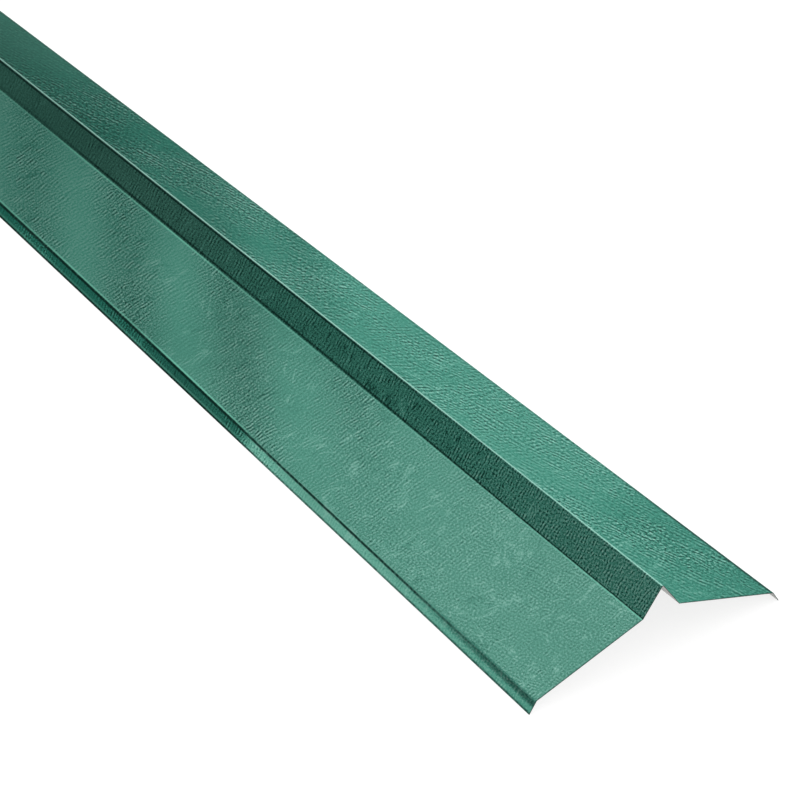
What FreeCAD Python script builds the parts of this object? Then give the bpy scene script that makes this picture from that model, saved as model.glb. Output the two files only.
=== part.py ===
import FreeCAD, Part
import math
import os

# Roof ridge cap: one strip of painted galvanised steel, folded along its length.
# The section is drawn across Y and up Z, and the cap runs along X.
# The origin is under the middle of the cap, at the level of its two lip edges.

# Driving dimensions, in millimetres and degrees

cap_length = 3048.0
sheet_thickness = 0.55

# Widths on the sheet, from fold to fold, for a strip 304.8 mm (12 in) wide
lip_width = 12.7
flange_width = 107.95
rib_side_width = 31.75

# Slopes below level, each side falling away from the ridge
lip_slope = 57.0
flange_slope = 18.43
rib_side_slope = 54.5

# Inside radii of the folds
ridge_fold_radius = 0.8
foot_fold_radius = 0.8
lip_fold_radius = 0.8


def step_down(start, width, slope):
    """The point reached by going outwards and down from start."""
    angle = math.radians(slope)
    return start + FreeCAD.Vector(0, width * math.cos(angle), -width * math.sin(angle))


def mirrored(point):
    """The same point on the other side of the ridge."""
    return FreeCAD.Vector(point.x, -point.y, point.z)


def middle_line():
    """Corners and fold radii of the sheet's middle line, from the lip on -Y to the lip on +Y."""
    ridge = FreeCAD.Vector(0, 0, 0)
    foot = step_down(ridge, rib_side_width, rib_side_slope)
    lip_fold = step_down(foot, flange_width, flange_slope)
    lip_edge = step_down(lip_fold, lip_width, lip_slope)
    right = [foot, lip_fold, lip_edge]
    left = [mirrored(point) for point in reversed(right)]
    corners = left + [ridge] + right

    half_sheet = sheet_thickness / 2
    lip_radius = lip_fold_radius + half_sheet
    foot_radius = foot_fold_radius + half_sheet
    ridge_radius = ridge_fold_radius + half_sheet
    radii = [lip_radius, foot_radius, ridge_radius, foot_radius, lip_radius]
    return corners, radii


def face_line(corners, radii, offset):
    """Edges of one face of the sheet, the middle line moved up by offset with its folds as arcs."""
    edges = []
    start = None
    for index in range(len(corners) - 1):
        along = (corners[index + 1] - corners[index]).normalize()
        upwards = FreeCAD.Vector(0, -along.z, along.y)
        if start is None:
            start = corners[index] + upwards * offset
        if index == len(radii):
            end = corners[index + 1] + upwards * offset
            edges.append(Part.LineSegment(start, end).toShape())
            break

        # The fold at this run's far end: its centre is square to the run, where its arc starts
        following = (corners[index + 2] - corners[index + 1]).normalize()
        next_upwards = FreeCAD.Vector(0, -following.z, following.y)
        turn = math.acos(along.dot(following))
        folds_down = along.y * following.z - along.z * following.y < 0
        to_centre = -1 if folds_down else 1
        setback = radii[index] * math.tan(turn / 2)
        arc_start = corners[index + 1] - along * setback
        centre = arc_start + upwards * to_centre * radii[index]
        face_radius = radii[index] - to_centre * offset

        first = centre - upwards * to_centre * face_radius
        middle_out = (upwards + next_upwards).normalize()
        middle = centre - middle_out * to_centre * face_radius
        last = centre - next_upwards * to_centre * face_radius
        edges.append(Part.LineSegment(start, first).toShape())
        edges.append(Part.Arc(first, middle, last).toShape())
        start = last
    return edges


def sheet_section():
    """The folded sheet seen from its end, closed by the cut edges of the two lips."""
    corners, radii = middle_line()
    top = face_line(corners, radii, sheet_thickness / 2)
    underside = face_line(corners, radii, -sheet_thickness / 2)
    left_cut = Part.LineSegment(underside[0].firstVertex().Point, top[0].firstVertex().Point)
    right_cut = Part.LineSegment(top[-1].lastVertex().Point, underside[-1].lastVertex().Point)
    edges = [left_cut.toShape()] + top + [right_cut.toShape()] + underside[::-1]
    return Part.Face(Part.Wire(edges))


def ridge_cap():
    """The section run along the whole cap, standing on the edges of its lips."""
    section = sheet_section()
    cap = section.extrude(FreeCAD.Vector(cap_length, 0, 0))
    lowest = section.BoundBox.ZMin
    cap.translate(FreeCAD.Vector(-cap_length / 2, 0, -lowest))
    return cap


os.makedirs("parts", exist_ok=True)
ridge_cap().exportStep("parts/ridge_cap.step")
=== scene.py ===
import math
from collections import namedtuple

import bmesh
import bpy
from mathutils import Matrix, Vector


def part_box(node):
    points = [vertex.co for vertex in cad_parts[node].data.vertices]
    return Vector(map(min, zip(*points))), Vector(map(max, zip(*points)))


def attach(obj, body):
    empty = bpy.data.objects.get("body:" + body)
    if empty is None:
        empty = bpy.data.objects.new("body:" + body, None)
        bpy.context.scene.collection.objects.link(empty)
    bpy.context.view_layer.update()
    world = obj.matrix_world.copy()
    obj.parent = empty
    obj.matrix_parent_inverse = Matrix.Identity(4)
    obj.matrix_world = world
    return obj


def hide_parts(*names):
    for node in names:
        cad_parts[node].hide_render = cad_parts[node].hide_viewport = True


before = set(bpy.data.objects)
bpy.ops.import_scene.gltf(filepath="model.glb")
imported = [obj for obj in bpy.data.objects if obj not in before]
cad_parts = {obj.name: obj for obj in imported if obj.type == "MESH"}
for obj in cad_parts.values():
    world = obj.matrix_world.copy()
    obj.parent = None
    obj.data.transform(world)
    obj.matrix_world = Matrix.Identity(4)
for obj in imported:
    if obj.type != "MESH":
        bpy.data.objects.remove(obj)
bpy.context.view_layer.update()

# Roof ridge cap: one strip of painted steel sheet, folded along its length.
# All lengths are in metres and all slopes in degrees.
# "Left" is the -Y side, whose lip faces the camera, and "right" is the +Y side.

# Sizes of the folded sheet

CAP = "ridge_cap"
LOW_CORNER, HIGH_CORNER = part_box(CAP)
NEAR_END = HIGH_CORNER.x
CAP_LENGTH = HIGH_CORNER.x - LOW_CORNER.x

SHEET_THICKNESS = 0.00055
LIP_WIDTH = 0.0127
FLANGE_WIDTH = 0.10795
RIB_SIDE_WIDTH = 0.03175
LIP_SLOPE = 57.0
FLANGE_SLOPE = 18.43
RIB_SIDE_SLOPE = 54.5
FOLD_RADIUS = 0.0008
# Draws the folds in a little more, so that the ridge stays inside the height of the solid
FOLD_ALLOWANCE = 1.008

# Places of the folds on the flat sheet, measured from the ridge
RIDGE = 0.0
FOOT_FOLD = RIB_SIDE_WIDTH
LIP_FOLD = FOOT_FOLD + FLANGE_WIDTH
LIP_EDGE = LIP_FOLD + LIP_WIDTH

LENGTH_STEPS = 192
FLANGE_STEPS = 12
RIDGE_FOLD_STEPS = 12
FOLD_STEPS = 6
# Turn from which an edge of the finished sheet is shaded as sharp
SHARP_CORNER = 50.0

# Slow waves that the thin sheet takes in its flanges
WAVE_LENGTH = 0.25
# How far a wave shifts along the cap for each metre across it
WAVE_SLANT = 2.0
WAVE_START = 0.04
WAVE_DEPTH = 0.0014
WAVE_SHARE_RIGHT = 0.4
# Distances from an end: up to the first the sheet is still, and from the second its waves are full
STILL_END = 0.2
FULL_WAVES = 0.5
# Share of the waves near the folds, which the shape leaves out, that the shading puts back
WAVE_SHADING = 0.65

# Colours of the finishes, and of the painted shade and highlights on the green coat, as linear
# light
GREEN_PAINT = (0.104, 0.32, 0.245, 1.0)
# Painted shade: a deeper, more even green
SHADED_GREEN = (0.03, 0.34, 0.24, 1.0)
# Pale and deep paint for the coat's tone, which carries its crinkle and marks and also painted
# light and shade
PALE_PAINT = (0.52, 0.86, 0.76, 1.0)
DEEP_PAINT = (0.0, 0.03, 0.021, 1.0)
# Painted shade and highlights along the folds and the crest
FOLD_SHADE = (0.002, 0.019, 0.015, 1.0)
FOLD_GLEAM = (0.26, 0.80, 0.60, 1.0)
RIDGE_SHINE = (0.57, 1.0, 0.87, 1.0)
# Tint of the green coat's own reflections
GREEN_SHEEN = (0.30, 0.86, 0.72, 1.0)
BACK_COAT = (0.80, 0.81, 0.78, 1.0)
CUT_STEEL = (0.035, 0.06, 0.05, 1.0)
PAINT_ON_CUT = 0.35
WHITE = (1.0, 1.0, 1.0, 1.0)
FLOOR_GREY = (0.35, 0.35, 0.35, 1.0)
CARD_BLACK = (0.02, 0.02, 0.02, 1.0)

# Name of the flat sheet coordinates: along the cap, and across it from the ridge
SHEET_MAP = "sheet"

# Distance from an end in which the grain of the coat opens out to twice its size
GRAIN_REACH = 2.2
# Size of sheet coordinates on the right side, where the grain is coarser, against those on the left
RIGHT_GRAIN_ACROSS = 0.60
RIGHT_GRAIN_ALONG = 0.66
# Takes the darker marks to another part of the pattern than the lighter ones
DARK_MARK_SHIFT = (3.1, 1.7, 0.0)

# Looks of the green coat.
#
# A look is a value that changes along the cap: a first value, and then any number of changes.
# A change is two distances from the nearer end and an amount. The amount comes in smoothly from
# the first distance to the second, and stays in full beyond the second. Where the first distance
# is the larger, the amount is there in full at the end and fades out inwards.
#
# A set of looks starts with the one for "all" faces, to which each named face adds its own.
# "left" and "right" are a flange with its lip, and "rib" is both sides of the raised middle.

CURLY_RIPPLES = {
    "all": (0.45, (0.05, 0.45, -0.18)),
    "rib": (-0.05,),
    "right": (0.0, (0.05, 0.45, -0.10)),
}
RIPPLES_ACROSS = {
    "all": (0.30, (0.05, 0.45, 0.32)),
    "rib": (0.30, (0.05, 0.45, -0.40)),
    "right": (0.0, (0.50, 0.90, -0.30)),
}
RIPPLES_ALONG = {
    "all": (0.25, (0.05, 0.45, -0.20)),
    "right": (0.50,),
}
RIPPLE_TURN = {
    "all": (math.radians(13.0),),
    "right": (math.radians(9.0),),
}
SPECK_STRENGTH = 0.6
PATCHINESS = {
    "all": (0.35,),
    "rib": (-0.25,),
    "right": (0.35,),
}

# How strongly the crinkle shows
CRINKLE_STRENGTH = {
    "all": (0.27,),
    "rib": (0.26, (0.05, 0.45, -0.12), (0.50, 0.90, -0.12), (0.85, 1.05, -0.14)),
    "right": (
        0.36, (0.08, 0.0, -0.30), (0.25, 0.40, -0.06),
        (0.65, 0.80, 0.20), (0.85, 1.05, 0.20), (1.05, 1.35, -0.50),
    ),
}
# What the dark bands of the waves add to it on the left, and the least that is added there
CRINKLE_IN_BANDS = 0.20
CRINKLE_ON_LEFT = (0.0, (0.05, 0.45, 0.06))
LEAST_CRINKLE_ON_LEFT = (-0.05, (0.50, 0.65, -0.09))

# Painted light and shade: how light or dark each face lies along the cap, above 0 towards pale
# paint, and below 0 towards deep paint
PAINTED_LIGHT_LEVELS = {
    "all": (0.0,),
    "rib": (0.045, (-0.10, 0.40, -0.28), (0.40, 1.10, -0.10)),
    "left": (0.003, (0.28, 0.45, -0.02), (0.62, 0.80, 0.08)),
    "left lip": (0.025, (0.0, 0.30, 0.12), (0.435, 0.475, -0.45)),
    "right": (
        -0.010, (0.12, 0.20, 0.04), (0.30, 0.45, -0.04),
        (0.55, 0.65, 0.045), (0.75, 0.90, 0.06), (0.98, 1.10, -0.15),
    ),
}
# Further painted shade on the right flange: on its outer part near the end and its inner part far
# out
RIGHT_OUTER_SHADE = (0.0, (0.25, 0.10, -0.13))
RIGHT_INNER_SHADE = (0.0, (0.80, 1.00, -0.15))
# Further painted shade on the left flange in the dark bands of the waves
BAND_SHADE = (0.0, (0.60, 0.75, -0.015))
# How far the marks and the slow clouds move the tone, and where the marks fade or show
# Dark streaks that lie only in the dark bands of the waves: marks, and also painted shade there
BAND_STREAKS = -0.10
SLOW_CLOUDS = 0.10
LIGHT_MARKS = 0.20
DARK_MARKS = -0.10
SCUFFS_FADING = (1.0, (0.05, 0.45, -0.80))
LIGHT_MARKS_FADING = (1.0, (0.50, 0.90, -0.60))
DARK_CREASES = {
    "all": (0.0,),
    "rib": (0.0, (0.10, 0.25, -0.40), (0.40, 0.60, 0.40)),
}
# Pale paint for a tone above 0, and deep paint for one below 0 with the most that there is of it
PALE_SHARE = {
    "all": (1.0,),
    "rib": (-0.3,),
}
DARKENING = -1.6
DARKEST = 0.97

# Painted shade: how much of the green is the deeper, more even green of paint in shade
SHADED_SHARE = {
    "all": (0.0,),
    "rib": (0.40, (0.50, 0.90, -0.40)),
    "left": (0.0, (0.05, 0.45, 0.15), (0.50, 0.90, 0.20)),
    "left lip": (0.50,),
    "right": (0.32, (0.50, 0.90, 0.50)),
}
SHADED_FADING = (1.0, (1.15, 1.45, -0.50))
# Painted highlight on the left lip near each end
LIP_GLEAM = {
    "all": (0.0,),
    "left lip": (0.0, (0.0, 0.30, 0.55), (0.435, 0.475, -0.55)),
}

# Lines along the folds: painted shade in the dark ones and painted highlights in the light ones.
# The shift is outwards on the sheet from the fold, and the strength runs from 0 to 1: both are
# looks. A line that widens does so with the grain.
Line = namedtuple("Line", "fold shift half_width strength side widens", defaults=("both", True))

# Painted shade along the folds and the lip edges
DARK_LINES = [
    Line(
        FOOT_FOLD, (-0.0002, (0.0, 0.50, -0.0016)), 0.0012,
        (0.82, (0.10, 0.25, -0.06), (0.95, 1.15, -0.456)),
    ),
    Line(RIDGE, (0.0022,), 0.0010, (0.20, (0.15, 0.60, 0.80))),
    Line(LIP_FOLD, (0.0026, (0.05, 0.75, -0.0023)), 0.0015, (0.55, (0.10, 0.25, 0.40)), "left"),
    Line(LIP_FOLD, (0.0036,), 0.0034, (0.0, (0.18, 0.02, 0.50)), "left", widens=False),
    Line(LIP_FOLD, (-0.0016,), 0.0022, (0.90, (0.10, 0.25, -0.60)), "right"),
    Line(LIP_EDGE, (-0.0006,), 0.0014, (0.65, (0.42, 0.50, 0.30))),
]
# Painted highlights along the folds and the lip edges
LIGHT_LINES = [
    Line(
        FOOT_FOLD, (0.0008,), 0.0010,
        (0.15, (0.18, 0.02, 0.25), (0.45, 0.80, 0.40), (0.95, 1.15, -0.33)),
    ),
    Line(LIP_FOLD, (0.0008, (0.05, 0.75, -0.0023)), 0.0009, (0.05, (0.42, 0.50, 0.55)), "left"),
    Line(LIP_EDGE, (-0.0024,), 0.0010, (0.0, (0.42, 0.50, 0.25))),
    Line(LIP_EDGE, (-0.0040,), 0.0026, (0.22, (0.10, 0.25, -0.22)), widens=False),
]
# Painted highlight: a shining line along the crest, drawn a little to its left
CREST_SHIFT = -0.0002
CREST_HALF_WIDTH = 0.0011
CREST_STRENGTH = (0.55, (0.10, 0.70, 0.45))
# Painted shade: a dark line along each cut end
END_HALF_WIDTH = 0.0011
END_STRENGTH = 0.45
# Share of a line's half width over which it has its full strength
LINE_CORE = 0.35
# How broken up the dark lines are, and the most that they cover the paint
LINE_MOTTLE = 1.7
LEAST_LINE = 0.2
MOST_LINE = 0.95

# Satin of the green coat
GREEN_ROUGHNESS = 0.285
LEAST_ROUGHNESS = 0.28
ROUGHNESS_OF_CRINKLE = 0.01
GREEN_METALLIC = 0.62
GREEN_REFLECTION = 0.25
FINE_RELIEF = 0.00006

# Grey coat of the underside, with its lines from rolling
BACK_ROUGHNESS = 0.42
ROUGHNESS_OF_ROLLING = 0.12
TONE_OF_ROLLING = 0.22
TONE_OF_BACK_CRINKLE = 0.05
BACK_RELIEF = 0.00002
BACK_METALLIC = 0.15

# Sheared edge, with paint drawn over it
CUT_ROUGHNESS = 0.4
ROUGHNESS_OF_DRAWN_PAINT = 0.3
CUT_RELIEF = 0.0001
CUT_RELIEF_STRENGTH = 0.6
CUT_METALLIC = 0.5

# Studio
HORIZON_LIGHT = 0.3
OVERHEAD_LIGHT = 1.15
# Upward part of a direction from which the light has its full overhead strength
OVERHEAD_FROM = 0.75
FLOOR_SIZE = 60.0
FLOOR_GLOW = 0.78
# Keeps the floor just clear of the lip edges that the cap stands on
FLOOR_DROP = 0.0003
# Upright cards out of view that the sheet reflects: name, two opposite corners, and glow
CARDS = [
    ("card_behind", (-4.0, -4.5, 0.0), (-4.0, 1.2, 4.15), 0.12),
    ("card_right", (-4.0, 1.2, 0.0), (-4.0, 4.1, 4.15), 0.0),
    ("card_beside", (-4.0, -5.0, 0.9), (0.6, -5.0, 4.0), 0.0),
    ("low_light", (-3.9, -5.0, 0.1), (1.0, -5.0, 0.8), 1.6),
    ("right_light", (-6.0, 5.5, 0.0), (1.0, 5.5, 1.5), 0.55),
]

CAMERA_PLACE = (NEAR_END + 0.936, -0.8305, 1.0241)
CAMERA_AIM = (NEAR_END - 0.400, 0.0121, 0.030)
CAMERA_ROLL = -1.12
SENSOR_WIDTH = 36.0
FOCAL_LENGTH = 89.23
VIEW_REACH = 60.0


# Nodes

def add_node(tree, kind, values=None, **settings):
    """A new node. A value that is a socket is linked, and any other is set on the input."""
    new = tree.nodes.new(kind)
    for name, setting in settings.items():
        setattr(new, name, setting)
    for key, value in (values or {}).items():
        if isinstance(value, bpy.types.NodeSocket):
            tree.links.new(value, new.inputs[key])
        else:
            new.inputs[key].default_value = value
    return new


def maths(tree, operation, first, second=0.0, third=0.0):
    """The result of one sum on numbers or sockets."""
    values = {0: first, 1: second, 2: third}
    return add_node(tree, "ShaderNodeMath", values, operation=operation).outputs[0]


def vector_maths(tree, operation, first, second, third=(0.0, 0.0, 0.0)):
    """The result of one sum on vectors, part by part."""
    values = {0: first, 1: second, 2: third}
    return add_node(tree, "ShaderNodeVectorMath", values, operation=operation).outputs[0]


def times(tree, first, *others):
    """The product of two or more values."""
    product = first
    for other in others:
        product = maths(tree, "MULTIPLY", product, other)
    return product


def plus_share(tree, value, share, amount):
    """Value with a share of amount added."""
    return maths(tree, "MULTIPLY_ADD", share, amount, value)


def about_zero(tree, value):
    """A pattern that runs about 0.5, moved to run about 0."""
    return maths(tree, "SUBTRACT", value, 0.5)


def kept_within(tree, value, low, high):
    """Value held between low and high."""
    return maths(tree, "MINIMUM", maths(tree, "MAXIMUM", value, low), high)


def covered(tree, share, under, over):
    """One colour covered by a share of another."""
    values = {0: share, 6: under, 7: over}
    return add_node(tree, "ShaderNodeMix", values, data_type="RGBA").outputs[2]


def rise_between(tree, value, low, high, course="SMOOTHSTEP"):
    """0 up to low, 1 from high on, and smooth between. It falls where low is the larger."""
    values = {"Value": value, "From Min": low, "From Max": high}
    return add_node(tree, "ShaderNodeMapRange", values, interpolation_type=course).outputs[0]


def band(tree, distance, half_width, core=0.0):
    """1 on a line and over its core, falling smoothly to 0 at half_width from it."""
    away = maths(tree, "ABSOLUTE", distance)
    return rise_between(tree, away, half_width, core * half_width)


def separated(tree, vector):
    """The X, Y and Z of a vector."""
    return add_node(tree, "ShaderNodeSeparateXYZ", {0: vector}).outputs


def spun(tree, vector, angle):
    """Sheet coordinates turned in their own plane."""
    values = {"Vector": vector, "Angle": angle, "Axis": (0.0, 0.0, 1.0)}
    return add_node(tree, "ShaderNodeVectorRotate", values, rotation_type="AXIS_ANGLE").outputs[0]


def noise(tree, vector, scale=1.0, detail=2.0, roughness=0.5):
    """Smooth noise about 0.5."""
    values = {"Vector": vector, "Scale": scale, "Detail": detail, "Roughness": roughness}
    return add_node(tree, "ShaderNodeTexNoise", values).outputs[0]


def wavelets(tree, vector, scale, lean, turn=0.0):
    """Even-sized ripples about 0.5. Lean runs from 0 for curly ones to 1 for straight ones."""
    values = {"Vector": vector, "Scale": scale, "Frequency": 2.0}
    values.update({"Anisotropy": lean, "Orientation": turn})
    return add_node(tree, "ShaderNodeTexGabor", values, gabor_type="2D").outputs["Value"]


def stretched(tree, vector, along, across):
    """Sheet coordinates scaled by different amounts along and across the cap."""
    return vector_maths(tree, "MULTIPLY", vector, (along, across, 1.0))


def curled(tree, vector, scale, amount):
    """Sheet coordinates pushed about by smooth noise, so that straight patterns curl."""
    values = {"Vector": vector, "Scale": scale, "Detail": 0.0}
    push = add_node(tree, "ShaderNodeTexNoise", values).outputs["Color"]
    push = vector_maths(tree, "SUBTRACT", push, (0.5, 0.5, 0.5))
    return vector_maths(tree, "MULTIPLY_ADD", push, (amount, amount, 0.0), vector)


def distance_to_end(tree, along):
    """How far a point lies from the nearer end of the cap."""
    from_end = maths(tree, "SUBTRACT", NEAR_END, along)
    return maths(tree, "MINIMUM", from_end, maths(tree, "SUBTRACT", CAP_LENGTH, from_end))


def along_cap(tree, from_end, look):
    """The value of a look at each distance from the nearer end."""
    value, *changes = look
    for first, last, change in changes:
        value = plus_share(tree, value, rise_between(tree, from_end, first, last), change)
    return value


def on_faces(tree, faces, from_end, looks):
    """The value of a set of looks, where each named face adds its own."""
    value = along_cap(tree, from_end, looks["all"])
    for name, look in looks.items():
        if name != "all":
            value = plus_share(tree, value, faces[name], along_cap(tree, from_end, look))
    return value


# Shader groups

def new_group(name, inputs, outputs):
    """An empty shader group, with its inputs and outputs by name."""
    group = bpy.data.node_groups.new(name, "ShaderNodeTree")
    for socket, kind, value in inputs:
        made = group.interface.new_socket(socket, in_out="INPUT", socket_type=kind)
        if value is not None:
            made.default_value = value
    for socket, kind in outputs:
        group.interface.new_socket(socket, in_out="OUTPUT", socket_type=kind)
    entry = group.nodes.new("NodeGroupInput")
    leave = group.nodes.new("NodeGroupOutput")
    return group, entry.outputs, leave.inputs


def use_group(tree, group, values):
    """Places a group in a material."""
    return add_node(tree, "ShaderNodeGroup", values, node_tree=group).outputs


def grain_group():
    """Coordinates in which the coat's grain is even: it opens out from each end to the middle."""
    inputs = [("Vector", "NodeSocketVector", None)]
    group, given, result = new_group("grain_place", inputs, [("Place", "NodeSocketVector")])
    parts = separated(group, given["Vector"])
    from_end = distance_to_end(group, parts["X"])
    size = plus_share(group, 1.0, from_end, 1.0 / GRAIN_REACH)
    run = maths(group, "DIVIDE", from_end, size)

    # Past the middle the run goes on growing, so that the two halves aren't mirror images
    full_run = CAP_LENGTH / (1.0 + CAP_LENGTH / 2 / GRAIN_REACH)
    left_to_run = plus_share(group, full_run, run, -2.0)
    past_middle = maths(group, "LESS_THAN", parts["X"], NEAR_END - CAP_LENGTH / 2)
    run = plus_share(group, run, past_middle, left_to_run)

    right_side = maths(group, "GREATER_THAN", parts["Y"], 0.0)
    size_along = plus_share(group, 1.0, right_side, RIGHT_GRAIN_ALONG - 1.0)
    size_across = plus_share(group, 1.0, right_side, RIGHT_GRAIN_ACROSS - 1.0)
    along = times(group, run, size_along)
    across = maths(group, "DIVIDE", times(group, parts["Y"], size_across), size)
    place = add_node(group, "ShaderNodeCombineXYZ", {"X": along, "Y": across}).outputs[0]
    group.links.new(place, result["Place"])
    return group


def crinkle_group():
    """Fine crinkle of the coats: curly ripples, straighter ones across and along, and specks."""
    inputs = [
        ("Vector", "NodeSocketVector", None),
        ("Curly", "NodeSocketFloat", 0.4),
        ("Across", "NodeSocketFloat", 0.4),
        ("Along", "NodeSocketFloat", 0.2),
        ("Specks", "NodeSocketFloat", 0.4),
        ("Patchiness", "NodeSocketFloat", 0.35),
        ("Turn", "NodeSocketFloat", math.radians(13.0)),
    ]
    group, given, result = new_group("sheet_crinkle", inputs, [("Tone", "NodeSocketFloat")])
    place = curled(group, given["Vector"], scale=110.0, amount=0.002)
    curly = wavelets(group, place, scale=165.0, lean=0.0)
    closer = stretched(group, place, along=1.0, across=0.8)
    across = wavelets(group, closer, scale=160.0, lean=0.8)
    strokes = stretched(group, spun(group, place, given["Turn"]), along=0.5, across=1.0)
    strokes = curled(group, strokes, scale=40.0, amount=0.006)
    along = wavelets(group, strokes, scale=155.0, lean=0.8, turn=math.radians(90.0))
    specks = noise(group, given["Vector"], scale=1000.0, detail=0.0)
    total = times(group, about_zero(group, curly), given["Curly"])
    for pattern, amount in ((across, "Across"), (along, "Along"), (specks, "Specks")):
        total = plus_share(group, total, about_zero(group, pattern), given[amount])

    patches = noise(group, given["Vector"], scale=16.0, detail=1.0)
    patches = rise_between(group, patches, 0.35, 0.65, "LINEAR")
    weakest = maths(group, "SUBTRACT", 1.0, given["Patchiness"])
    strength = plus_share(group, weakest, patches, given["Patchiness"])
    full_tone = 5.5
    group.links.new(times(group, total, strength, full_tone), result["Tone"])
    return group


def rub_mark_group():
    """Thin rub marks, mostly across the cap, each patch of the sheet turned its own way."""
    inputs = [
        ("Vector", "NodeSocketVector", None),
        ("Patches", "NodeSocketFloat", 20.0),
        ("Share", "NodeSocketFloat", 0.5),
        ("Spread", "NodeSocketFloat", 1.6),
    ]
    group, given, result = new_group("rub_marks", inputs, [("Mask", "NodeSocketFloat")])
    bent = curled(group, given["Vector"], scale=45.0, amount=0.010)
    values = {"Vector": bent, "Scale": given["Patches"]}
    patch = add_node(group, "ShaderNodeTexVoronoi", values, voronoi_dimensions="2D")
    chance = add_node(group, "ShaderNodeSeparateColor", {0: patch.outputs["Color"]}).outputs
    turn = times(group, about_zero(group, chance["Red"]), given["Spread"])
    turned = spun(group, bent, turn)
    lines = noise(group, stretched(group, turned, along=165.0, across=18.0), detail=0.0)
    stroke = band(group, about_zero(group, lines), half_width=0.065)
    present = maths(group, "LESS_THAN", chance["Green"], given["Share"])
    gaps = noise(group, stretched(group, turned, along=90.0, across=60.0), detail=0.0)
    unbroken = rise_between(group, gaps, 0.48, 0.60, "LINEAR")
    group.links.new(times(group, stroke, present, unbroken), result["Mask"])
    return group


def scuff_group():
    """Thin curled scuffs, as from handling."""
    inputs = [("Vector", "NodeSocketVector", None), ("Scale", "NodeSocketFloat", 120.0)]
    group, given, result = new_group("curled_scuffs", inputs, [("Mask", "NodeSocketFloat")])
    curls = noise(group, given["Vector"], given["Scale"], detail=1.0)
    line = band(group, about_zero(group, curls), half_width=0.06)
    gaps = noise(group, given["Vector"], scale=70.0, detail=1.0)
    unbroken = rise_between(group, gaps, 0.55, 0.64, "LINEAR")
    group.links.new(times(group, line, unbroken), result["Mask"])
    return group


def wave_group():
    """Height of the slow waves, and how dark they lie: 1 in dark bands and -1 between them."""
    inputs = [("Vector", "NodeSocketVector", None)]
    outputs = [("Height", "NodeSocketFloat"), ("Shade", "NodeSocketFloat")]
    group, given, result = new_group("sheet_waves", inputs, outputs)
    parts = separated(group, given["Vector"])
    place = plus_share(group, parts["X"], parts["Y"], WAVE_SLANT)
    phase = times(group, maths(group, "SUBTRACT", place, WAVE_START), math.tau / WAVE_LENGTH)
    height = times(group, maths(group, "SINE", phase), WAVE_DEPTH)
    group.links.new(height, result["Height"])
    group.links.new(maths(group, "COSINE", phase), result["Shade"])
    return group


GRAIN = grain_group()
CRINKLE = crinkle_group()
RUB_MARKS = rub_mark_group()
SCUFFS = scuff_group()
WAVES = wave_group()


# Finishes

def new_material(name):
    """A material with an empty surface shader and its node tree."""
    material = bpy.data.materials.new(name)
    material.use_nodes = True
    tree = material.node_tree
    tree.nodes.clear()
    shader = add_node(tree, "ShaderNodeBsdfPrincipled")
    add_node(tree, "ShaderNodeOutputMaterial", {"Surface": shader.outputs[0]})
    return material, tree, shader


def sheet_place(tree):
    """Flat sheet coordinates of the surface."""
    return add_node(tree, "ShaderNodeUVMap", uv_map=SHEET_MAP).outputs[0]


def coat_crinkle(tree, faces, from_end, grain):
    """Crinkle of the green coat, which differs from face to face and along the cap."""
    amounts = {
        "Vector": grain,
        "Curly": on_faces(tree, faces, from_end, CURLY_RIPPLES),
        "Across": on_faces(tree, faces, from_end, RIPPLES_ACROSS),
        "Along": on_faces(tree, faces, from_end, RIPPLES_ALONG),
        "Specks": SPECK_STRENGTH,
        "Patchiness": on_faces(tree, faces, from_end, PATCHINESS),
        "Turn": on_faces(tree, faces, from_end, RIPPLE_TURN),
    }
    return use_group(tree, CRINKLE, amounts)["Tone"]


def crinkle_strength(tree, faces, from_end, dark_bands):
    """How strongly the crinkle shows. On the left it is strongest in the bands of the waves."""
    strength = on_faces(tree, faces, from_end, CRINKLE_STRENGTH)
    on_left = along_cap(tree, from_end, CRINKLE_ON_LEFT)
    on_left = plus_share(tree, on_left, dark_bands, CRINKLE_IN_BANDS)
    least = along_cap(tree, from_end, LEAST_CRINKLE_ON_LEFT)
    return plus_share(tree, strength, faces["left"], maths(tree, "MAXIMUM", on_left, least))


def coat_marks(tree, faces, from_end, grain, dark_bands):
    """Tone of the marks in the coat: light rubs and scuffs, and dark rubs, streaks and creases."""
    elsewhere = vector_maths(tree, "ADD", grain, DARK_MARK_SHIFT)
    values = {"Vector": grain, "Patches": 22.0, "Share": 0.7, "Spread": 1.4}
    light_rubs = use_group(tree, RUB_MARKS, values)["Mask"]
    values = {"Vector": elsewhere, "Patches": 26.0, "Share": 0.6, "Spread": 1.4}
    dark_rubs = use_group(tree, RUB_MARKS, values)["Mask"]
    scuffs = use_group(tree, SCUFFS, {"Vector": grain, "Scale": 95.0})["Mask"]
    scuffs = times(tree, scuffs, along_cap(tree, from_end, SCUFFS_FADING))
    light = maths(tree, "MAXIMUM", light_rubs, scuffs)
    light = times(tree, light, along_cap(tree, from_end, LIGHT_MARKS_FADING))

    streaks = noise(tree, stretched(tree, elsewhere, along=280.0, across=60.0), detail=1.0)
    streaks = rise_between(tree, streaks, low=0.50, high=0.62)
    streaks = times(tree, streaks, maths(tree, "MAXIMUM", dark_bands, 0.0))
    creases = noise(tree, stretched(tree, elsewhere, along=400.0, across=95.0), detail=1.0)
    creases = rise_between(tree, creases, low=0.60, high=0.70)

    tone = times(tree, light, LIGHT_MARKS)
    tone = plus_share(tree, tone, dark_rubs, DARK_MARKS)
    tone = plus_share(tree, tone, streaks, BAND_STREAKS)
    return plus_share(tree, tone, creases, on_faces(tree, faces, from_end, DARK_CREASES))


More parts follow.
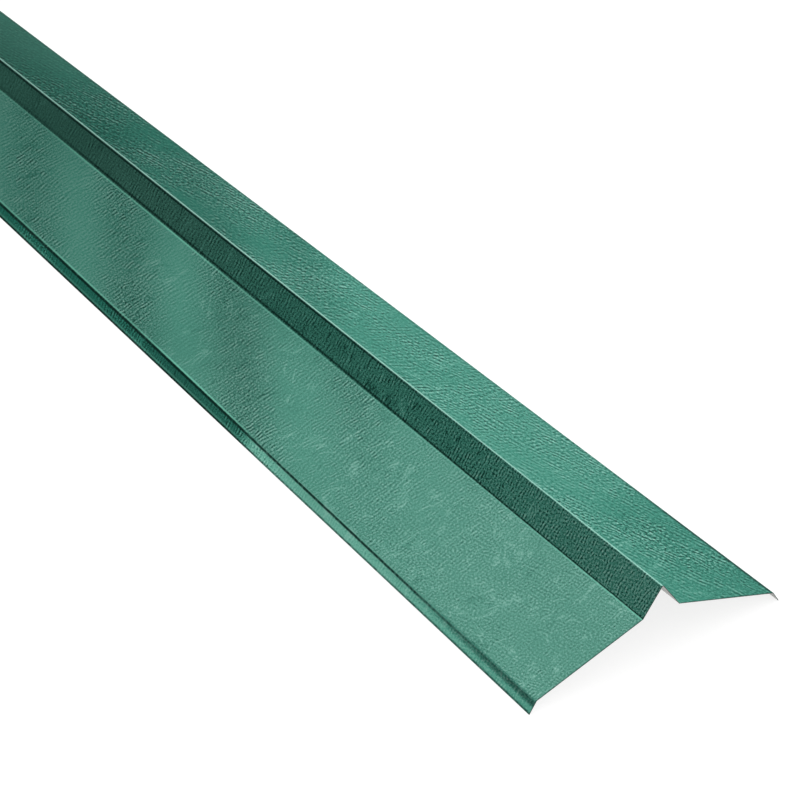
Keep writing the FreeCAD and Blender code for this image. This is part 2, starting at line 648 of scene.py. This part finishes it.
def coat_levels(tree, faces, reach, from_end, sheet, dark_bands):
    """Painted light and shade of the green coat, from face to face and along the cap, with slow
    random clouds of tone.
    """
    level = on_faces(tree, faces, from_end, PAINTED_LIGHT_LEVELS)
    in_bands = times(tree, dark_bands, along_cap(tree, from_end, BAND_SHADE))
    level = plus_share(tree, level, faces["left"], in_bands)
    outer = rise_between(tree, reach, FOOT_FOLD, LIP_FOLD)
    inner = maths(tree, "SUBTRACT", 1.0, outer)
    for part, shade in ((outer, RIGHT_OUTER_SHADE), (inner, RIGHT_INNER_SHADE)):
        amount = times(tree, part, along_cap(tree, from_end, shade))
        level = plus_share(tree, level, faces["right"], amount)
    clouds = noise(tree, stretched(tree, sheet, along=5.0, across=18.0), detail=1.0)
    return plus_share(tree, level, about_zero(tree, clouds), SLOW_CLOUDS)


def line_beside(tree, place, fold, shift, half_width, spread=1.0):
    """A line beside a fold. Spread widens the shift and the line."""
    away = maths(tree, "DIVIDE", maths(tree, "SUBTRACT", place, fold), spread)
    return band(tree, maths(tree, "SUBTRACT", away, shift), half_width, LINE_CORE)


def fold_lines(tree, lines, across, reach, from_end, spread):
    """The strongest of a list of lines at each place."""
    left_side = maths(tree, "LESS_THAN", across, 0.0)
    sides = {"both": 1.0, "left": left_side, "right": maths(tree, "SUBTRACT", 1.0, left_side)}
    strongest = 0.0
    for line in lines:
        shift = along_cap(tree, from_end, line.shift)
        widening = spread if line.widens else 1.0
        drawn = line_beside(tree, reach, line.fold, shift, line.half_width, widening)
        strength = along_cap(tree, from_end, line.strength)
        drawn = times(tree, drawn, strength, sides[line.side])
        strongest = maths(tree, "MAXIMUM", strongest, drawn)
    return strongest


def coat_colour(tree, tone, faces, across, reach, from_end, grain):
    """Colour of the green coat, from its tone, its painted shade and highlights, and the painted
    lines along its folds.
    """
    shaded = on_faces(tree, faces, from_end, SHADED_SHARE)
    shaded = times(tree, shaded, along_cap(tree, from_end, SHADED_FADING))
    pale = kept_within(tree, tone, 0.0, 1.0)
    pale = times(tree, pale, on_faces(tree, faces, from_end, PALE_SHARE))
    deep = kept_within(tree, times(tree, tone, DARKENING), 0.0, DARKEST)

    spread = plus_share(tree, 1.0, from_end, 1.0 / GRAIN_REACH)
    dark = fold_lines(tree, DARK_LINES, across, reach, from_end, spread)
    end = line_beside(tree, from_end, 0.0, 0.0, END_HALF_WIDTH)
    dark = maths(tree, "MAXIMUM", dark, times(tree, end, END_STRENGTH))
    mottle = plus_share(tree, LEAST_LINE, noise(tree, grain, scale=330.0), LINE_MOTTLE)
    dark = maths(tree, "MINIMUM", times(tree, dark, mottle), MOST_LINE)
    light = fold_lines(tree, LIGHT_LINES, across, reach, from_end, spread)
    crest = line_beside(tree, across, RIDGE, CREST_SHIFT, CREST_HALF_WIDTH, spread)
    crest = times(tree, crest, along_cap(tree, from_end, CREST_STRENGTH))

    colour = covered(tree, shaded, GREEN_PAINT, SHADED_GREEN)
    colour = covered(tree, on_faces(tree, faces, from_end, LIP_GLEAM), colour, FOLD_GLEAM)
    colour = covered(tree, pale, colour, PALE_PAINT)
    colour = covered(tree, deep, colour, DEEP_PAINT)
    colour = covered(tree, dark, colour, FOLD_SHADE)
    colour = covered(tree, light, colour, FOLD_GLEAM)
    return covered(tree, crest, colour, RIDGE_SHINE)


def held_by_folds(tree, reach):
    """Share of the waves that the shape leaves out: 1 at a flange's folds, 0 in its middle."""
    place = maths(tree, "DIVIDE", maths(tree, "SUBTRACT", reach, FOOT_FOLD), FLANGE_WIDTH)
    inside = kept_within(tree, place, 0.0, 1.0)
    free = maths(tree, "SINE", times(tree, inside, math.pi))
    return maths(tree, "SUBTRACT", 1.0, free)


def coat_relief(tree, faces, reach, waving, wave_height, grain):
    """Surface direction of the green coat: the rest of the slow waves, and a fine grain."""
    side = plus_share(tree, faces["left"], faces["right"], WAVE_SHARE_RIGHT)
    rest = times(tree, wave_height, held_by_folds(tree, reach), side, WAVE_SHADING, waving)
    values = {"Height": rest, "Strength": 1.0, "Distance": 1.0}
    slow = add_node(tree, "ShaderNodeBump", values).outputs[0]
    fine = times(tree, noise(tree, grain, scale=420.0, detail=1.0), FINE_RELIEF)
    values = {"Height": fine, "Strength": 1.0, "Distance": 1.0, "Normal": slow}
    return add_node(tree, "ShaderNodeBump", values).outputs[0]


def green_coat():
    """Satin green coat on the weather side, crinkled, rubbed and slightly waved, with painted light
    and shade.
    """
    material, tree, shader = new_material("green_coat")
    sheet = sheet_place(tree)
    parts = separated(tree, sheet)
    across = parts["Y"]
    reach = maths(tree, "ABSOLUTE", across)
    from_end = distance_to_end(tree, parts["X"])
    faces = {
        "rib": maths(tree, "LESS_THAN", reach, FOOT_FOLD),
        "right": maths(tree, "GREATER_THAN", across, FOOT_FOLD),
        "left": maths(tree, "LESS_THAN", across, -FOOT_FOLD),
        "left lip": maths(tree, "LESS_THAN", across, -LIP_FOLD),
    }
    grain = use_group(tree, GRAIN, {"Vector": sheet})["Place"]
    wave = use_group(tree, WAVES, {"Vector": sheet})
    waving = rise_between(tree, from_end, STILL_END, FULL_WAVES)
    dark_bands = times(tree, wave["Shade"], waving, faces["left"])

    crinkle = coat_crinkle(tree, faces, from_end, grain)
    tone = times(tree, crinkle, crinkle_strength(tree, faces, from_end, dark_bands))
    marks = coat_marks(tree, faces, from_end, grain, dark_bands)
    levels = coat_levels(tree, faces, reach, from_end, sheet, dark_bands)
    tone = maths(tree, "ADD", maths(tree, "ADD", tone, marks), levels)

    colour = coat_colour(tree, tone, faces, across, reach, from_end, grain)
    tree.links.new(colour, shader.inputs["Base Color"])
    relief = coat_relief(tree, faces, reach, waving, wave["Height"], grain)
    tree.links.new(relief, shader.inputs["Normal"])
    rough = plus_share(tree, GREEN_ROUGHNESS, crinkle, ROUGHNESS_OF_CRINKLE)
    rough = maths(tree, "MAXIMUM", rough, LEAST_ROUGHNESS)
    tree.links.new(rough, shader.inputs["Roughness"])
    shader.inputs["Metallic"].default_value = GREEN_METALLIC
    shader.inputs["Specular IOR Level"].default_value = GREEN_REFLECTION
    shader.inputs["Specular Tint"].default_value = GREEN_SHEEN
    return material


def back_coat():
    """Thin grey-white wash coat on the underside, with faint lines from rolling."""
    material, tree, shader = new_material("grey_back_coat")
    sheet = sheet_place(tree)
    crinkle = use_group(tree, CRINKLE, {"Vector": sheet})["Tone"]
    rolled = stretched(tree, sheet, along=3.0, across=160.0)
    rolled = noise(tree, rolled, detail=3.0, roughness=0.6)
    tone = plus_share(tree, 1.0, about_zero(tree, rolled), TONE_OF_ROLLING)
    tone = plus_share(tree, tone, crinkle, TONE_OF_BACK_CRINKLE)
    values = {0: BACK_COAT[:3], "Scale": tone}
    colour = add_node(tree, "ShaderNodeVectorMath", values, operation="SCALE").outputs[0]
    tree.links.new(colour, shader.inputs["Base Color"])
    values = {"Height": crinkle, "Strength": 1.0, "Distance": BACK_RELIEF}
    relief = add_node(tree, "ShaderNodeBump", values).outputs[0]
    tree.links.new(relief, shader.inputs["Normal"])
    rough = plus_share(tree, BACK_ROUGHNESS, rolled, ROUGHNESS_OF_ROLLING)
    tree.links.new(rough, shader.inputs["Roughness"])
    shader.inputs["Metallic"].default_value = BACK_METALLIC
    return material


def sheared_edge():
    """Sheared edge of the sheet, dull steel with green drawn over it in places."""
    material, tree, shader = new_material("sheared_edge")
    place = add_node(tree, "ShaderNodeTexCoord").outputs["Object"]
    drawn = noise(tree, place, scale=260.0, detail=3.0, roughness=0.6)
    smear = rise_between(tree, drawn, 0.45, 0.70, "LINEAR")
    thin_paint = tuple(PAINT_ON_CUT * part for part in GREEN_PAINT[:3]) + (1.0,)
    colour = covered(tree, smear, CUT_STEEL, thin_paint)
    tree.links.new(colour, shader.inputs["Base Color"])
    values = {"Height": drawn, "Strength": CUT_RELIEF_STRENGTH, "Distance": CUT_RELIEF}
    relief = add_node(tree, "ShaderNodeBump", values).outputs[0]
    tree.links.new(relief, shader.inputs["Normal"])
    rough = plus_share(tree, CUT_ROUGHNESS, drawn, ROUGHNESS_OF_DRAWN_PAINT)
    tree.links.new(rough, shader.inputs["Roughness"])
    shader.inputs["Metallic"].default_value = CUT_METALLIC
    return material


# The folded sheet

def section_corners():
    """Corners of the sheet's middle line across the cap, from the left lip over the ridge."""
    runs = [
        (RIB_SIDE_WIDTH, RIB_SIDE_SLOPE), (FLANGE_WIDTH, FLANGE_SLOPE), (LIP_WIDTH, LIP_SLOPE),
    ]
    half = [(0.0, 0.0)]
    for width, slope in runs:
        angle = math.radians(slope)
        y, z = half[-1]
        half.append((y + width * math.cos(angle), z - width * math.sin(angle)))
    stand = -half[-1][1] + SHEET_THICKNESS / 2 * math.cos(math.radians(LIP_SLOPE))
    right = [(y, z + stand) for y, z in half]
    left = [(-y, z) for y, z in reversed(right[1:])]
    return left + right


def distance_on_sheet(y):
    """How far a point lies from the ridge, measured on the sheet, with its side as the sign."""
    corners = section_corners()
    middle = len(corners) // 2
    folds = [corner[0] for corner in corners[middle:]]
    places = [RIDGE, FOOT_FOLD, LIP_FOLD, LIP_EDGE]
    out = min(abs(y), folds[-1])
    last_run = len(places) - 2
    for run in range(last_run + 1):
        if out <= folds[run + 1] or run == last_run:
            share = (out - folds[run]) / (folds[run + 1] - folds[run])
            reach = places[run] + share * (places[run + 1] - places[run])
            return math.copysign(reach, y)


def fold_setback(turn):
    """How far back from its corner a fold of this turn starts.

    The bevel that rounds it is then as deep as a true arc of the fold's radius.
    """
    half = math.radians(turn) / 2
    middle_radius = FOLD_RADIUS + SHEET_THICKNESS / 2
    depth = FOLD_ALLOWANCE * middle_radius * (1 / math.cos(half) - 1)
    return depth / ((2 - math.sqrt(2)) * math.sin(half))


def folded_surface():
    """The sheet's middle surface: its section with rounded folds, drawn out along the cap."""
    mesh = bmesh.new()
    corners = [mesh.verts.new((LOW_CORNER.x, y, z)) for y, z in section_corners()]
    for first, second in zip(corners, corners[1:]):
        mesh.edges.new((first, second))
    rising = [-LIP_SLOPE, -FLANGE_SLOPE, -RIB_SIDE_SLOPE]
    slopes = rising + [-slope for slope in reversed(rising)]
    turns = [abs(after - before) for before, after in zip(slopes, slopes[1:])]
    for corner, turn in zip(corners[1:-1], turns):
        # Only the ridge turns by more than a right angle
        steps = RIDGE_FOLD_STEPS if turn > 90 else FOLD_STEPS
        bmesh.ops.bevel(
            mesh, geom=[corner], offset=fold_setback(turn), offset_type="OFFSET",
            segments=steps, profile=0.5, affect="VERTICES", material=-1,
        )
    flanges = [edge for edge in mesh.edges if edge.calc_length() > FLANGE_WIDTH / 2]
    bmesh.ops.subdivide_edges(mesh, edges=flanges, cuts=FLANGE_STEPS - 1)
    front = mesh.edges[:]
    step = Vector((CAP_LENGTH / LENGTH_STEPS, 0.0, 0.0))
    for _ in range(LENGTH_STEPS):
        grown = bmesh.ops.extrude_edge_only(mesh, edges=front)["geom"]
        front = [part for part in grown if isinstance(part, bmesh.types.BMEdge)]
        points = [part for part in grown if isinstance(part, bmesh.types.BMVert)]
        bmesh.ops.translate(mesh, verts=points, vec=step)
    bmesh.ops.recalc_face_normals(mesh, faces=mesh.faces)
    if sum(face.normal.z * face.calc_area() for face in mesh.faces) < 0:
        bmesh.ops.reverse_faces(mesh, faces=mesh.faces)
    return mesh


def wave_height(along, across):
    """How far the sheet stands out of its plane: not at all at its folds and its ends."""
    from_end = min(NEAR_END - along, CAP_LENGTH - NEAR_END + along)
    reach = abs(across)
    if not FOOT_FOLD < reach < LIP_FOLD:
        return 0.0
    free = math.sin(math.pi * (reach - FOOT_FOLD) / FLANGE_WIDTH)
    start = min(max((from_end - STILL_END) / (FULL_WAVES - STILL_END), 0.0), 1.0)
    level = start * start * (3 - 2 * start)
    phase = (along + WAVE_SLANT * across - WAVE_START) * math.tau / WAVE_LENGTH
    side = WAVE_SHARE_RIGHT if across > 0 else 1.0
    return WAVE_DEPTH * math.sin(phase) * free * level * side


def wave_flanges(mesh):
    """Lifts each point of the flanges square to its flange by the height of the waves there."""
    slope = math.radians(FLANGE_SLOPE)
    for point in mesh.verts:
        height = wave_height(point.co.x, distance_on_sheet(point.co.y))
        outwards = math.copysign(math.sin(slope), point.co.y)
        point.co += Vector((0.0, height * outwards, height * math.cos(slope)))


def lay_out_sheet_map(mesh):
    """Gives each face its flat sheet coordinates and smooth shading."""
    layer = mesh.loops.layers.uv.new(SHEET_MAP)
    for face in mesh.faces:
        face.smooth = True
        for corner in face.loops:
            place = corner.vert.co
            corner[layer].uv = (place.x, distance_on_sheet(place.y))


def new_object(name, mesh):
    """An object in the scene, made from a bmesh that is then freed."""
    data = bpy.data.meshes.new(name)
    mesh.to_mesh(data)
    mesh.free()
    made = bpy.data.objects.new(name, data)
    bpy.context.scene.collection.objects.link(made)
    return made


def painted_sheet():
    """The whole cap: the folded surface given its thickness, with its three finishes."""
    mesh = folded_surface()
    lay_out_sheet_map(mesh)
    wave_flanges(mesh)
    piece = new_object("painted_sheet", mesh)
    for material in (green_coat(), back_coat(), sheared_edge()):
        piece.data.materials.append(material)

    wall = piece.modifiers.new("wall", "SOLIDIFY")
    wall.thickness = SHEET_THICKNESS
    wall.offset = 0.0
    wall.use_even_offset = True
    wall.material_offset = 1
    wall.material_offset_rim = 2
    bpy.context.view_layer.update()
    seen = piece.evaluated_get(bpy.context.evaluated_depsgraph_get())
    finished = bpy.data.meshes.new_from_object(seen)
    piece.modifiers.clear()
    piece.data = finished
    finished.set_sharp_from_angle(angle=math.radians(SHARP_CORNER))
    return piece


# Studio

def seen_directly(tree):
    """1 for the camera's rays and for what metal or glass shows, else 0."""
    rays = add_node(tree, "ShaderNodeLightPath").outputs
    direct = maths(tree, "MAXIMUM", rays["Is Camera Ray"], rays["Is Glossy Ray"])
    return maths(tree, "MAXIMUM", direct, rays["Is Transmission Ray"])


def cover_studio_piece(piece, name, surface_of):
    """Gives a studio piece its material, whose surface is made by surface_of."""
    material = bpy.data.materials.new(name)
    material.use_nodes = True
    tree = material.node_tree
    tree.nodes.clear()
    add_node(tree, "ShaderNodeOutputMaterial", {"Surface": surface_of(tree)})
    piece.data.materials.append(material)


def floor_surface(tree):
    """Matt floor that looks white and still takes the cap's shadow."""
    matt = add_node(tree, "ShaderNodeBsdfDiffuse", {"Color": FLOOR_GREY}).outputs[0]
    glow = add_node(tree, "ShaderNodeEmission", {"Color": WHITE, "Strength": FLOOR_GLOW}).outputs[0]
    seen = add_node(tree, "ShaderNodeAddShader", {0: matt, 1: glow}).outputs[0]
    values = {0: seen_directly(tree), 1: matt, 2: seen}
    return add_node(tree, "ShaderNodeMixShader", values).outputs[0]


def studio_floor():
    """Plain pale floor that keeps the cap's shadow."""
    mesh = bmesh.new()
    bmesh.ops.create_grid(mesh, x_segments=1, y_segments=1, size=FLOOR_SIZE)
    floor = new_object("floor", mesh)
    floor.location.z = -FLOOR_DROP
    cover_studio_piece(floor, "pale_floor", floor_surface)


def card(name, low, high, glow):
    """An upright card for the sheet to reflect: lit when it has a glow, and else matt black."""
    corners = [low, (high[0], high[1], low[2]), high, (low[0], low[1], high[2])]
    mesh = bmesh.new()
    mesh.faces.new([mesh.verts.new(corner) for corner in corners])
    sheet = new_object(name, mesh)
    sheet.visible_camera = False

    def surface(tree):
        if glow > 0:
            values = {"Color": WHITE, "Strength": glow}
            return add_node(tree, "ShaderNodeEmission", values).outputs[0]
        return add_node(tree, "ShaderNodeBsdfDiffuse", {"Color": CARD_BLACK}).outputs[0]

    cover_studio_piece(sheet, name, surface)


def soft_world():
    """White light from all round, strongest overhead. Seen directly it is an even white."""
    world = bpy.data.worlds.new("soft_light")
    bpy.context.scene.world = world
    world.use_nodes = True
    tree = world.node_tree
    direction = add_node(tree, "ShaderNodeTexCoord").outputs["Generated"]
    overhead = rise_between(tree, separated(tree, direction)["Z"], 0.0, OVERHEAD_FROM)
    level = plus_share(tree, HORIZON_LIGHT, overhead, OVERHEAD_LIGHT - HORIZON_LIGHT)
    even_white = 1.0
    values = {0: seen_directly(tree), 2: level, 3: even_white}
    level = add_node(tree, "ShaderNodeMix", values, data_type="FLOAT").outputs[0]
    background = tree.nodes["Background"]
    background.inputs["Color"].default_value = WHITE
    tree.links.new(level, background.inputs["Strength"])


def camera():
    """The photograph's viewpoint, above the near end and out beyond it."""
    place = Vector(CAMERA_PLACE)
    lens = bpy.data.cameras.new("camera")
    lens.sensor_width = SENSOR_WIDTH
    lens.lens = FOCAL_LENGTH
    lens.clip_end = VIEW_REACH
    holder = bpy.data.objects.new("camera", lens)
    bpy.context.scene.collection.objects.link(holder)
    level = (Vector(CAMERA_AIM) - place).to_track_quat("-Z", "Y").to_matrix().to_4x4()
    roll = Matrix.Rotation(math.radians(CAMERA_ROLL), 4, "Z")
    holder.matrix_world = Matrix.Translation(place) @ level @ roll
    bpy.context.scene.camera = holder


cap = painted_sheet()
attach(cap, "root")
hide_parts(CAP)

studio_floor()
soft_world()
for card_name, low_corner, high_corner, card_glow in CARDS:
    card(card_name, low_corner, high_corner, card_glow)
camera()
bpy.context.scene.view_settings.view_transform = "Standard"
